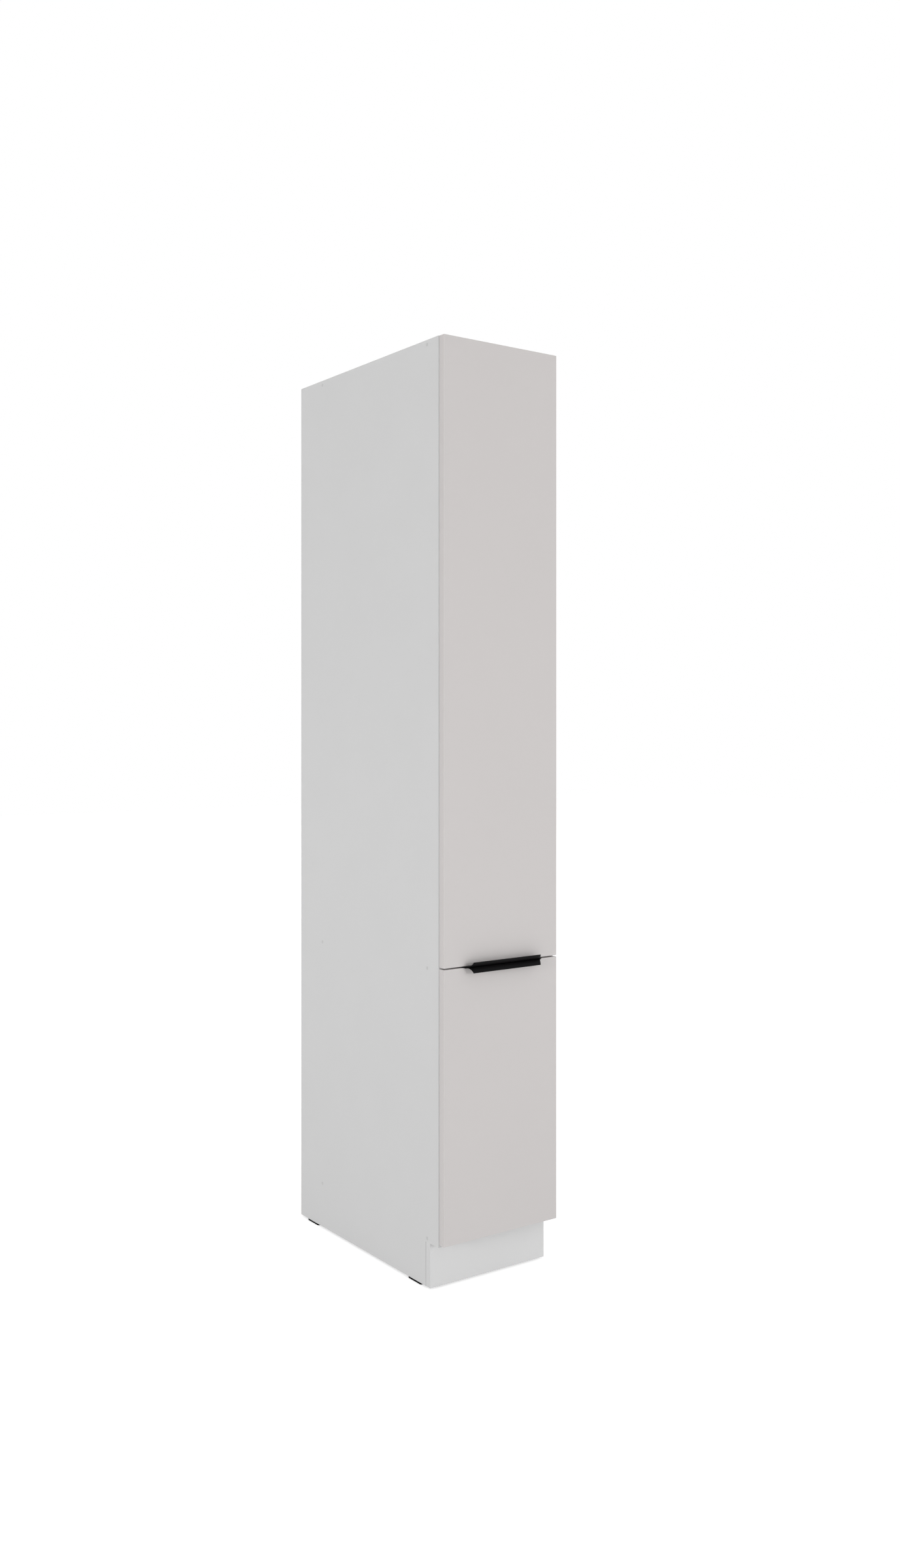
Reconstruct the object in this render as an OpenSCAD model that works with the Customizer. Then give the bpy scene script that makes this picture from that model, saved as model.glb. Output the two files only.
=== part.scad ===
// Tall larder cabinet, 300 mm wide, with two pull-outs, one above the other.
// Each front carries its own frame of trays on telescopic runners.
// Millimetres. Origin on the floor under the middle of the cabinet.
// +X to the right, the fronts face -Y, +Z up.

/* [Carcass] */
// Outside width of the carcass
carcass_w = 300; // [260:1:600]
// Depth of the carcass behind the fronts
carcass_d = 566; // [460:1:700]
// Height of the side boards, without the glides
side_h = 1952; // [1600:1:2400]
// Thickness of the carcass boards
board_t = 16; // [13:0.1:22]
// Height of the toe notch, from the underside of the side boards
toe_h = 91.7; // [75:0.1:150]
// How far the plinth's face stands behind the faces of the fronts
toe_setback = 45.6; // [38:0.1:70]
// How far the top panel lies below the tops of the side boards
top_drop = 2; // [0:0.5:20]
// How far the middle shelf's centre lies below the gap between the fronts
shelf_drop = 4.5; // [0:0.1:7]
// Thickness of the back sheet
back_t = 3; // [2.5:0.5:8]
// Depth of the groove in each side board that holds the back sheet
groove_d = 6; // [4:0.5:8]
// Height of the rail behind the back sheet, which is screwed to the wall
rail_h = 80; // [60:1:120]
// Distance between the two wall screw holes in the rail
wall_hole_pitch = 180; // [120:1:200]
// Diameter of the wall screw holes
wall_hole_d = 5.5; // [4:0.5:8]

/* [Carcass fixings] */
// From the faces of the fronts to the front row of carcass screws
screw_front = 56.5; // [45:0.5:90]
// From the rear of the carcass to the rear row of carcass screws
screw_rear = 99; // [60:1:140]
// Diameter of the caps over the carcass screws
cap_d = 7; // [7:0.5:14]
// Thickness of the caps
cap_t = 1.5; // [1:0.1:3]
// Diameter of a carcass screw's shank
confirmat_d = 5; // [4:0.5:7]
// Diameter of a carcass screw's head
confirmat_head_d = 7; // [6:0.5:7]
// Length of a carcass screw
confirmat_l = 48; // [40:1:70]
// Diameter of the dowels that hold the rear rail
dowel_d = 8; // [6:1:10]
// Length of the dowels
dowel_l = 30; // [20:1:40]

/* [Glides] */
// Thickness of the glides under the side boards
glide_t = 4; // [3:0.5:8]
// Length of a glide
glide_l = 47; // [40:1:80]
// From the back of the plinth to the front glide
glide_front = 19; // [5:0.5:60]
// From the rear of the carcass to the rear glide
glide_rear = 32; // [10:1:80]

/* [Fronts] */
// Thickness of the fronts
front_t = 16; // [13:0.1:22]
// How far each front stands in from the side of the carcass
front_reveal = 2; // [1:0.5:4]
// Gap between the two fronts
front_gap = 3; // [2.8:0.1:6]
// From the underside of the side boards to the lower front
front_base = 96.9; // [92:0.1:105]
// Height of the lower front
lower_front_h = 563.1; // [450:0.1:720]
// Gap between the closed fronts and the carcass
front_clear = 0.3; // [0.3:0.1:3]

/* [Handles] */
// Length of a handle at the face of the front
handle_root_l = 199.2; // [175:0.1:250]
// Length of a handle along its lip
handle_lip_l = 175.2; // [90:0.1:199]
// How far the lip stands out from the face of the front
handle_proj = 21.3; // [15:0.1:21.9]
// How far a handle runs straight out from the gap before it curves
handle_flat = 7; // [6.5:0.5:12]
// Outer radius of the curve from there to the lip's edge
handle_r = 15; // [14.5:0.1:40]
// Thickness of the handle's metal
handle_t = 1.2; // [1:0.1:1.3]

/* [Runners] */
// Width of a runner's fixed member
runner_w = 45; // [40:1:52]
// Height of the floor runner under the upper pull-out
floor_runner_h = 18; // [14:0.5:22]
// Height of the guide above the upper pull-out
guide_h = 14; // [12:0.5:18]
// Height of the slides beside the lower pull-out, out from the side board
slide_h = 12; // [11:0.5:14]
// Thickness of the runners' steel
runner_t = 1.5; // [1:0.1:1.8]
// Running clearance between the runners' members
runner_clear = 0.5; // [0.3:0.1:0.8]
// Width of the lips that keep a member in its channel
runner_lip = 6; // [4:0.5:7]
// From the carcass's front edge to the runners
runner_setback = 5; // [2:1:20]
// Room behind the runners
runner_rear = 42; // [30:1:60]

/* [Frames] */
// Width of the posts and beams
post_w = 30; // [24:1:40]
// Depth of a post, and height of a beam
post_d = 20; // [16:1:30]
// Wall of the posts and beams
tube_t = 1.5; // [1:0.1:3]
// From the carcass's front edge to the frames
frame_setback = 12; // [8:1:30]
// Room behind the frames
frame_rear = 31; // [20:1:60]
// Thickness of the sheet deck under the lower trays
deck_t = 1.5; // [1:0.1:2]
// Height of the deck's upturned sides
deck_side_h = 50; // [48:1:70]
// Room under the deck
deck_clear = 6; // [4:0.5:12]
// Thickness of the brackets and the tray hooks
bracket_t = 2; // [1.5:0.1:3]
// Height of a bracket
bracket_h = 40; // [30:1:60]
// Length of a bracket along the back of the front
bracket_l = 45; // [40:1:70]

/* [Trays] */
// Thickness of a tray's board
tray_t = 12; // [10:0.5:16]
// Radius of a tray's corners
tray_r = 20; // [12:1:40]
// Room beside a lower tray, inside the deck's sides
tray_clear = 3.5; // [2:0.5:8]
// Height of the rails around a tray, above its board
gallery_h = 90; // [60:1:120]
// How far the rails stand in from the edge of the board
gallery_inset = 4; // [2:0.5:10]
// Height of a rail's band
band_h = 8; // [5:0.5:14]
// Thickness of a rail's band
band_t = 2.5; // [2:0.1:4]
// Diameter of the studs that carry the rails
stud_d = 5; // [4:0.5:8]
// Room under the first upper tray
first_tray_gap = 8; // [4:1:20]

/* [Hidden] */
$fn = 48;

// Radial clearance of every pin, screw and cap in its hole
fit = 0.1;
// Extra length by which a cut runs past the face it opens
past = 1;

// Places along Y, from the faces of the fronts to the rear of the carcass
total_d = handle_proj + front_t + front_clear + carcass_d;
y_face = handle_proj - total_d / 2;
y_front_back = y_face + front_t;
y_edge = y_front_back + front_clear;
y_rear = y_edge + carcass_d;
y_back = y_rear - board_t - back_t;
y_plinth = y_face + toe_setback;
y_plinth_back = y_plinth + board_t;

// Places along X
half_w = carcass_w / 2;
half_in = half_w - board_t;
half_front = half_w - front_reveal;

// Heights, from the floor
z_side = glide_t;
z_top = z_side + side_h;
z_bottom = z_side + toe_h;
z_base = z_bottom + board_t;
z_lid_top = z_top - top_drop;
z_lid = z_lid_top - board_t;
z_lower_front = z_side + front_base;
z_gap = z_lower_front + lower_front_h + front_gap / 2;
z_shelf_mid = z_gap - shelf_drop;
z_shelf = z_shelf_mid - board_t / 2;
z_shelf_top = z_shelf + board_t;
z_upper_front = z_gap + front_gap / 2;

// Carcass screws: two rows, in the three boards that join the sides
screw_ys = [y_face + screw_front, y_rear - screw_rear];
screw_zs = [z_bottom + board_t / 2, z_shelf_mid, z_lid + board_t / 2];
confirmat_head_h = 3;
dowel_zs = [z_lid_top - rail_h / 4, z_lid_top - 3 * rail_h / 4];
dowel_in_side = 11;

// Glides: one under each end of both side boards
glide_ys = [y_plinth_back + glide_front, y_rear - glide_rear - glide_l];
glide_pin_d = 5;
glide_pin_l = 12;
block_w = 20;
block_h = 60;

// Runners
runner_l = y_back - y_edge - runner_setback - runner_rear;
y_runner = y_edge + runner_setback;
member_step = runner_t + runner_clear;
stem_w = runner_w - 2 * (runner_t + runner_lip) - 2 * member_step - 2;
floor_runner_lift = 6;
slide_lift = 2;
z_runner_top = z_shelf_top + floor_runner_h + floor_runner_lift;
z_guide_low = z_lid - guide_h - floor_runner_lift;
half_deck = half_in - slide_h - slide_lift;
z_deck = z_base + deck_clear;
z_slide = z_deck + deck_side_h / 2;
runner_screw_d = 4;
runner_screw_l = 12;
runner_screw_head_d = 8;
runner_screw_head_h = 1.2;
runner_screw_ys = [for (part = [0.1, 0.5, 0.9]) y_runner + part * runner_l];

// Frames and trays
y_frame = y_edge + frame_setback;
frame_l = y_back - frame_rear - y_frame;
y_front_tray = y_frame + post_d + bracket_t;
tray_d = frame_l - 2 * (post_d + bracket_t);
tray_w = 2 * (half_deck - deck_t - tray_clear);
y_tray_mid = y_front_tray + tray_d / 2;
z_beam_top = z_runner_top + post_d;
z_top_beam = z_guide_low - post_d;
upper_post_h = z_top_beam - z_beam_top;
upper_pitch = upper_post_h / 4;
upper_tray_zs = [for (k = [0:3]) z_beam_top + first_tray_gap + k * upper_pitch];
z_deck_floor = z_deck + deck_t;
lower_pitch = (z_shelf - z_deck_floor) / 2;
lower_tray_zs = [for (k = [0:1]) z_deck_floor + k * lower_pitch];
lower_head_room = 33;
lower_post_h = z_shelf - lower_head_room - z_deck_floor;
hook_w = 50;
hook_ledge = 16;

// Brackets between the front posts and the fronts
bracket_end_gap = 60;
upper_bracket_zs = [
  for (k = [0:3]) z_beam_top + bracket_end_gap + k * (upper_post_h - 2 * bracket_end_gap) / 3
];
lower_bracket_zs = [
  for (k = [0:1]) z_deck_floor + bracket_end_gap + k * (lower_post_h - 2 * bracket_end_gap)
];
bracket_screw_xs = [post_w / 2 + 15, post_w / 2 + 33];
bracket_screw_d = 4;
bracket_screw_head_d = 7;
bracket_screw_head_h = 2;
bracket_screw_l = 14;

// Handles
handle_screw_xs = [-80, 0, 80];
handle_screw_d = 3;
handle_screw_head_d = 6;
handle_screw_head_h = 1;
handle_screw_l = 20;
y_handle_screw = y_face + front_t / 2;
handle_sweep = asin((handle_proj - handle_flat) / handle_r);
handle_back_gap = 2;

// ---- shared shapes ----

// A box between two values on each axis
module span(x, y, z) {
  translate([x[0], y[0], z[0]]) cube([x[1] - x[0], y[1] - y[0], z[1] - z[0]]);
}

// Turns +Z to the named direction
module pointing(way) {
  turn = way == "x" ? [0, 90, 0]
    : way == "-x" ? [0, -90, 0]
    : way == "y" ? [-90, 0, 0]
    : way == "-y" ? [90, 0, 0]
    : way == "-z" ? [180, 0, 0]
    : [0, 0, 0];
  rotate(turn) children();
}

// A screw along +Z: its head from 0 up, then its shank, with a hexagon socket in the head
module screw(length, d, head_d, head_h) {
  difference() {
    union() {
      cylinder(h = head_h, d = head_d);
      translate([0, 0, head_h]) cylinder(h = length - head_h, d = d);
    }
    translate([0, 0, -past]) cylinder(h = past + head_h * 0.7, d = head_d / 2, $fn = 6);
  }
}

// The hole for such a screw, open at 0
module screw_hole(length, d, head_d, head_h) {
  translate([0, 0, -past]) cylinder(h = past + head_h, d = head_d + 2 * fit);
  cylinder(h = length + past, d = d + 2 * fit);
}

// A plain hole along +Z, open at 0
module hole(depth, d) {
  translate([0, 0, -past]) cylinder(h = past + depth, d = d + 2 * fit);
}

function rounded(w, d, r) = [
  for (q = [0:3])
    for (i = [0:6])
      let (a = 90 * q + 15 * i)
      let (sx = q == 0 || q == 3 ? 1 : -1)
      let (sy = q < 2 ? 1 : -1)
      [sx * (w / 2 - r) + r * cos(a), sy * (d / 2 - r) + r * sin(a)]
];

// ---- carcass ----

board_colour = [0.81, 0.81, 0.81];
front_colour = [0.8, 0.79, 0.785];
metal_colour = [0.7, 0.71, 0.72];
frame_colour = [0.55, 0.56, 0.58];
black = [0.08, 0.08, 0.08];

module at_carcass_screws() {
  for (y = screw_ys)
    for (z = screw_zs)
      translate([-half_w, y, z]) pointing("x") children();
}

module at_dowels() {
  for (z = dowel_zs)
    translate([-half_in - dowel_in_side, y_rear - board_t / 2, z]) pointing("x") children();
}

module at_glides() {
  for (y = glide_ys)
    translate([-half_w, y, 0]) children();
}

module at_slide_screws() {
  for (y = runner_screw_ys)
    translate([-half_in + runner_t, y, z_slide]) pointing("-x") children();
}

module runner_screw() {
  screw(runner_screw_l, runner_screw_d, runner_screw_head_d, runner_screw_head_h);
}

module runner_screw_hole() {
  translate([0, 0, -0.01])
    screw_hole(runner_screw_l, runner_screw_d, runner_screw_head_d, runner_screw_head_h + 0.02);
}

module side_shape() {
  difference() {
    span([-half_w, -half_in], [y_edge, y_rear], [z_side, z_top]);
    span([-half_w - past, -half_in + past], [y_edge - past, y_plinth_back], [z_side - past, z_bottom]);
    span([-half_in - groove_d, -half_in + past], [y_back - fit, y_back + back_t + fit],
      [z_bottom - fit, z_top + past]);
    at_carcass_screws() {
      hole(cap_t, cap_d);
      translate([0, 0, cap_t])
        screw_hole(confirmat_l, confirmat_d, confirmat_head_d, confirmat_head_h);
    }
    at_dowels() translate([0, 0, -fit]) hole(dowel_l, dowel_d);
    at_slide_screws() runner_screw_hole();
    at_glides() translate([board_t / 2, glide_l / 2, glide_t]) hole(glide_pin_l, glide_pin_d);
  }
}

module side_left() {
  color(board_colour) side_shape();
}

module side_right() {
  color(board_colour) mirror([1, 0, 0]) side_shape();
}

// A board between the side boards, with the screw holes in its ends
module cross_board(z_low) {
  difference() {
    span([-half_in, half_in], [y_edge, y_back], [z_low, z_low + board_t]);
    for (turn = [0, 1])
      mirror([turn, 0, 0])
        for (y = screw_ys)
          translate([-half_w, y, z_low + board_t / 2]) pointing("x")
            hole(cap_t + confirmat_l + past, confirmat_d);
  }
}

module at_guide_screws() {
  for (y = runner_screw_ys)
    translate([0, y, z_lid - runner_t]) children();
}

module at_floor_runner_screws() {
  for (y = runner_screw_ys)
    translate([0, y, z_shelf_top + runner_t]) pointing("-z") children();
}

module top_panel() {
  color(board_colour)
    difference() {
      cross_board(z_lid);
      at_guide_screws() runner_screw_hole();
    }
}

module mid_shelf() {
  color(board_colour)
    difference() {
      cross_board(z_shelf);
      at_floor_runner_screws() runner_screw_hole();
    }
}

module bottom_panel() {
  color(board_colour) cross_board(z_bottom);
}

module wall_holes(y_low, y_high) {
  for (s = [-1, 1])
    translate([s * wall_hole_pitch / 2, y_low - past, z_lid_top - rail_h / 2]) pointing("y")
      cylinder(h = y_high - y_low + 2 * past, d = wall_hole_d);
}

module back_sheet() {
  color(board_colour)
    difference() {
      span([-half_in - groove_d + fit, half_in + groove_d - fit], [y_back, y_back + back_t],
        [z_bottom, z_lid_top]);
      wall_holes(y_back, y_back + back_t);
    }
}

module rear_rail() {
  color(board_colour)
    difference() {
      span([-half_in, half_in], [y_back + back_t, y_rear], [z_lid_top - rail_h, z_lid_top]);
      wall_holes(y_back + back_t, y_rear);
      for (turn = [0, 1])
        mirror([turn, 0, 0]) at_dowels() hole(dowel_l + past, dowel_d);
    }
}

module rail_dowels() {
  color("burlywood")
    for (turn = [0, 1])
      mirror([turn, 0, 0]) at_dowels() cylinder(h = dowel_l, d = dowel_d);
}

module plinth_board() {
  color(board_colour) span([-half_w, half_w], [y_plinth, y_plinth_back], [z_side, z_bottom]);
}

module plinth_blocks() {
  color(board_colour)
    for (turn = [0, 1])
      mirror([turn, 0, 0])
        span([-half_in, -half_in + block_w], [y_plinth_back, y_plinth_back + block_w],
          [z_bottom - block_h, z_bottom]);
}

module glides() {
  color(black)
    for (turn = [0, 1])
      mirror([turn, 0, 0])
        at_glides() {
          cube([board_t, glide_l, glide_t]);
          translate([board_t / 2, glide_l / 2, glide_t]) cylinder(h = glide_pin_l, d = glide_pin_d);
        }
}

module carcass_screws() {
  color(metal_colour)
    for (turn = [0, 1])
      mirror([turn, 0, 0])
        at_carcass_screws() translate([0, 0, cap_t])
          screw(confirmat_l, confirmat_d, confirmat_head_d, confirmat_head_h);
}

module screw_caps() {
  color([0.77, 0.77, 0.77])
    for (turn = [0, 1])
      mirror([turn, 0, 0]) at_carcass_screws() cylinder(h = cap_t, d = cap_d);
}

// ---- runners ----
// In a member's own frame X is its width, Y leads away from what it is screwed to, Z is its length.

module channel(w, h) {
  difference() {
    translate([-w / 2, 0]) square([w, h]);
    translate([-w / 2 + runner_t, runner_t]) square([w - 2 * runner_t, h - 2 * runner_t]);
    translate([-w / 2 + runner_t + runner_lip, h - runner_t - past])
      square([w - 2 * (runner_t + runner_lip), runner_t + 2 * past]);
  }
}

module base_member(h) {
  linear_extrude(runner_l) channel(runner_w, h);
}

module mid_member(h) {
  linear_extrude(runner_l)
    translate([0, member_step]) channel(runner_w - 2 * member_step, h - 2 * member_step);
}

module top_member(h, lift) {
  foot_w = runner_w - 4 * member_step;
  foot_low = 2 * member_step;
  foot_high = h - 2 * member_step;
  linear_extrude(runner_l)
    polygon([
      [-foot_w / 2, foot_low], [foot_w / 2, foot_low], [foot_w / 2, foot_high],
      [stem_w / 2, foot_high], [stem_w / 2, h + lift], [-stem_w / 2, h + lift],
      [-stem_w / 2, foot_high], [-foot_w / 2, foot_high]
    ]);
}

// On the middle shelf, opening upwards
module on_shelf() {
  translate([0, y_runner + runner_l, z_shelf_top]) rotate([90, 0, 0]) children();
}

// Under the top panel, opening downwards
module under_lid() {
  translate([0, y_runner + runner_l, z_lid]) mirror([0, 0, 1]) rotate([90, 0, 0]) children();
}

// On the left side board, opening towards the middle
module on_left_side() {
  translate([-half_in, y_runner + runner_l, z_slide]) rotate([0, 90, 0]) rotate([90, 0, 0]) children();
}

module slide_base() {
  difference() {
    on_left_side() base_member(slide_h);
    at_slide_screws() runner_screw_hole();
  }
}

module upper_runner_base() {
  color(metal_colour)
    difference() {
      on_shelf() base_member(floor_runner_h);
      at_floor_runner_screws() runner_screw_hole();
    }
}

module upper_runner_mid() {
  color(metal_colour) on_shelf() mid_member(floor_runner_h);
}

module upper_runner_top() {
  color(metal_colour) on_shelf() top_member(floor_runner_h, floor_runner_lift);
}

module upper_guide_base() {
  color(metal_colour)
    difference() {
      under_lid() base_member(guide_h);
      at_guide_screws() runner_screw_hole();
    }
}

module upper_guide_mid() {
  color(metal_colour) under_lid() mid_member(guide_h);
}

module upper_guide_top() {
  color(metal_colour) under_lid() top_member(guide_h, floor_runner_lift);
}

module lower_slide_base_left() {
  color(metal_colour) slide_base();
}

module lower_slide_base_right() {
  color(metal_colour) mirror([1, 0, 0]) slide_base();
}

module lower_slide_mid_left() {
  color(metal_colour) on_left_side() mid_member(slide_h);
}

module lower_slide_mid_right() {
  color(metal_colour) mirror([1, 0, 0]) on_left_side() mid_member(slide_h);
}

module lower_slide_top_left() {
  color(metal_colour) on_left_side() top_member(slide_h, slide_lift);
}

module lower_slide_top_right() {
  color(metal_colour) mirror([1, 0, 0]) on_left_side() top_member(slide_h, slide_lift);
}

module runner_screws() {
  color(metal_colour) {
    at_floor_runner_screws() runner_screw();
    at_guide_screws() runner_screw();
    for (turn = [0, 1])
      mirror([turn, 0, 0]) at_slide_screws() runner_screw();
  }
}

// ---- frames ----

// A square tube along Y, open at both ends
module beam(z_low) {
  color(frame_colour)
    difference() {
      span([-post_w / 2, post_w / 2], [y_frame, y_frame + frame_l], [z_low, z_low + post_d]);
      span([tube_t - post_w / 2, post_w / 2 - tube_t], [y_frame - past, y_frame + frame_l + past],
        [z_low + tube_t, z_low + post_d - tube_t]);
    }
}

// A square tube standing up, open at both ends
module post(y_low, z_low, height) {
  color(frame_colour)
    difference() {
      span([-post_w / 2, post_w / 2], [y_low, y_low + post_d], [z_low, z_low + height]);
      span([tube_t - post_w / 2, post_w / 2 - tube_t], [y_low + tube_t, y_low + post_d - tube_t],
        [z_low - past, z_low + height + past]);
    }
}

module upper_beam_bottom() {
  beam(z_runner_top);
}

module upper_beam_top() {
  beam(z_top_beam);
}

module upper_post_front() {
  post(y_frame, z_beam_top, upper_post_h);
}

module upper_post_rear() {
  post(y_frame + frame_l - post_d, z_beam_top, upper_post_h);
}

module lower_post_front() {
  post(y_frame, z_deck_floor, lower_post_h);
}

module lower_post_rear() {
  post(y_frame + frame_l - post_d, z_deck_floor, lower_post_h);
}

module lower_deck() {
  color(frame_colour)
    difference() {
      span([-half_deck, half_deck], [y_frame, y_frame + frame_l], [z_deck, z_deck + deck_side_h]);
      span([deck_t - half_deck, half_deck - deck_t], [y_frame - past, y_frame + frame_l + past],
        [z_deck_floor, z_deck + deck_side_h + past]);
    }
}

// Hooks under both ends of a tray, each an L between the post and the tray's board
module hook_pair(z_tray) {
  for (turn = [0, 1])
    translate([0, y_tray_mid, z_tray]) mirror([0, turn, 0]) translate([-hook_w / 2, -tray_d / 2, 0])
      rotate([90, 0, 90]) linear_extrude(hook_w)
        polygon([
          [-bracket_t, -bracket_t], [hook_ledge, -bracket_t], [hook_ledge, 0],
          [0, 0], [0, tray_t], [-bracket_t, tray_t]
        ]);
}

module upper_tray_hooks() {
  color(frame_colour)
    for (z = upper_tray_zs) hook_pair(z);
}

module lower_tray_hooks() {
  color(frame_colour) hook_pair(lower_tray_zs[1]);
}

// ---- trays ----

module tray(z) {
  color([0.86, 0.86, 0.85])
    translate([0, y_tray_mid, z]) linear_extrude(tray_t) polygon(rounded(tray_w, tray_d, tray_r));
}

module band(z) {
  outer_w = tray_w - 2 * gallery_inset;
  outer_d = tray_d - 2 * gallery_inset;
  outer_r = tray_r - gallery_inset;
  translate([0, 0, z]) linear_extrude(band_h)
    difference() {
      polygon(rounded(outer_w, outer_d, outer_r));
      polygon(rounded(outer_w - 2 * band_t, outer_d - 2 * band_t, outer_r - band_t));
    }
}

module gallery(z_tray) {
  stud_x = tray_w / 2 - gallery_inset - band_t / 2;
  stud_y = tray_d / 2 - gallery_inset - band_t / 2;
  places = concat(
    [for (s = [-1, 1], part = [-0.8, -0.27, 0.27, 0.8]) [s * stud_x, part * stud_y]],
    [for (s = [-1, 1], part = [-0.55, 0.55]) [part * stud_x, s * stud_y]]
  );
  color("silver")
    translate([0, y_tray_mid, z_tray + tray_t]) {
      band(gallery_h - band_h);
      band((gallery_h - band_h) / 2);
      for (p = places)
        translate([p[0], p[1], 0]) cylinder(h = gallery_h - 3, d = stud_d);
    }
}

module upper_tray_1() { tray(upper_tray_zs[0]); }
module upper_tray_2() { tray(upper_tray_zs[1]); }
module upper_tray_3() { tray(upper_tray_zs[2]); }
module upper_tray_4() { tray(upper_tray_zs[3]); }
module lower_tray_1() { tray(lower_tray_zs[0]); }
module lower_tray_2() { tray(lower_tray_zs[1]); }
module upper_gallery_1() { gallery(upper_tray_zs[0]); }
module upper_gallery_2() { gallery(upper_tray_zs[1]); }
module upper_gallery_3() { gallery(upper_tray_zs[2]); }
module upper_gallery_4() { gallery(upper_tray_zs[3]); }
module lower_gallery_1() { gallery(lower_tray_zs[0]); }
module lower_gallery_2() { gallery(lower_tray_zs[1]); }

// ---- fronts ----

module at_bracket_screws(zs) {
  for (turn = [0, 1])
    mirror([turn, 0, 0])
      for (z = zs)
        for (x = bracket_screw_xs)
          translate([x, y_front_back + bracket_t + bracket_screw_head_h, z]) pointing("-y") children();
}

module bracket_screw() {
  screw(bracket_screw_l, bracket_screw_d, bracket_screw_head_d, bracket_screw_head_h);
}

module at_handle_screws(way) {
  for (x = handle_screw_xs)
    translate([x, y_handle_screw, z_gap + (way == "z" ? 1 : -1) * (front_gap / 2 - handle_t)])
      pointing(way) children();
}

module handle_screw() {
  screw(handle_screw_l, handle_screw_d, handle_screw_head_d, handle_screw_head_h);
}

module front(z_low, z_high, bracket_zs, handle_way) {
  color(front_colour)
    difference() {
      span([-half_front, half_front], [y_face, y_front_back], [z_low, z_high]);
      at_bracket_screws(bracket_zs) hole(bracket_screw_l + past / 2, bracket_screw_d);
      at_handle_screws(handle_way) hole(handle_screw_l + past, handle_screw_d);
    }
}

module front_upper() {
  front(z_upper_front, z_top, upper_bracket_zs, "z");
}

module front_lower() {
  front(z_lower_front, z_gap - front_gap / 2, lower_bracket_zs, "-z");
}

// Brackets: an L in plan, against the back of the front and the side of the post
module brackets(zs) {
  arm = frame_setback + front_clear + post_d;
  x_post = post_w / 2;
  color(frame_colour)
    for (turn = [0, 1])
      mirror([turn, 0, 0])
        for (z = zs)
          difference() {
            translate([x_post, y_front_back, z - bracket_h / 2]) linear_extrude(bracket_h)
              polygon([
                [0, 0], [bracket_l, 0], [bracket_l, bracket_t],
                [bracket_t, bracket_t], [bracket_t, arm], [0, arm]
              ]);
            for (x = bracket_screw_xs)
              translate([x, y_front_back, z]) pointing("y") hole(bracket_t + past, bracket_screw_d);
          }
}

module upper_brackets() {
  brackets(upper_bracket_zs);
}

module lower_brackets() {
  brackets(lower_bracket_zs);
}

module upper_front_screws() {
  color(metal_colour) at_bracket_screws(upper_bracket_zs) bracket_screw();
}

module lower_front_screws() {
  color(metal_colour) at_bracket_screws(lower_bracket_zs) bracket_screw();
}

// Handle: a plate in the gap, under the upper front's edge, that runs out and curves up to its lip.
// The ends are cut on a slant, so the lip is shorter than the root.
module handle_up() {
  slant = (handle_root_l - handle_lip_l) / 2;
  plate_l = front_t - handle_back_gap;
  inner_r = handle_r - handle_t;
  turns = [0:handle_sweep / 20:handle_sweep + 0.01];
  profile = concat(
    [[plate_l, handle_t], [plate_l, 0]],
    [for (a = turns) [-handle_flat - handle_r * sin(a), handle_r - handle_r * cos(a)]],
    [for (a = turns)
      [-handle_flat - inner_r * sin(handle_sweep - a), handle_r - inner_r * cos(handle_sweep - a)]]
  );
  difference() {
    translate([0, y_face, z_gap + front_gap / 2 - handle_t])
      intersection() {
        translate([-handle_root_l / 2, 0, 0]) rotate([90, 0, 90]) linear_extrude(handle_root_l)
          polygon(profile);
        translate([0, 0, -past]) linear_extrude(handle_r + 2 * past)
          polygon([
            [-handle_root_l / 2, plate_l], [-handle_root_l / 2, 0],
            [slant - handle_root_l / 2, -handle_proj], [handle_root_l / 2 - slant, -handle_proj],
            [handle_root_l / 2, 0], [handle_root_l / 2, plate_l]
          ]);
      }
    at_handle_screws("z")
      screw_hole(handle_screw_l, handle_screw_d, handle_screw_head_d, handle_screw_head_h);
  }
}

module handle_upper() {
  color(black) handle_up();
}

module handle_lower() {
  color(black) translate([0, 0, 2 * z_gap]) mirror([0, 0, 1]) handle_up();
}

module upper_handle_screws() {
  color(black) at_handle_screws("z") handle_screw();
}

module lower_handle_screws() {
  color(black) at_handle_screws("-z") handle_screw();
}

// ---- what is drawn ----

side_left();
side_right();
top_panel();
mid_shelf();
bottom_panel();
back_sheet();
rear_rail();
plinth_board();
plinth_blocks();
glides();
carcass_screws();
screw_caps();
rail_dowels();
upper_runner_base();
upper_guide_base();
lower_slide_base_left();
lower_slide_base_right();
runner_screws();
upper_runner_mid();
upper_guide_mid();
lower_slide_mid_left();
lower_slide_mid_right();
front_upper();
handle_upper();
upper_handle_screws();
upper_brackets();
upper_front_screws();
upper_runner_top();
upper_guide_top();
upper_beam_bottom();
upper_beam_top();
upper_post_front();
upper_post_rear();
upper_tray_hooks();
upper_tray_1();
upper_tray_2();
upper_tray_3();
upper_tray_4();
upper_gallery_1();
upper_gallery_2();
upper_gallery_3();
upper_gallery_4();
front_lower();
handle_lower();
lower_handle_screws();
lower_brackets();
lower_front_screws();
lower_slide_top_left();
lower_slide_top_right();
lower_deck();
lower_post_front();
lower_post_rear();
lower_tray_hooks();
lower_tray_1();
lower_tray_2();
lower_gallery_1();
lower_gallery_2();
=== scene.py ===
# %% [markdown]
# # A larder cabinet with two pull-outs
#
# The real object is a tall kitchen cabinet, 300 mm wide. Its two fronts, one above the other, each
# pull out a steel frame that carries railed trays. The construction model is already packed, so it is
# loaded first and every piece is made where that model has it. A piece that is made better here
# replaces its node, and rides on the same body, so that it moves when the pull-out moves.

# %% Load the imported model
import math

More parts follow.
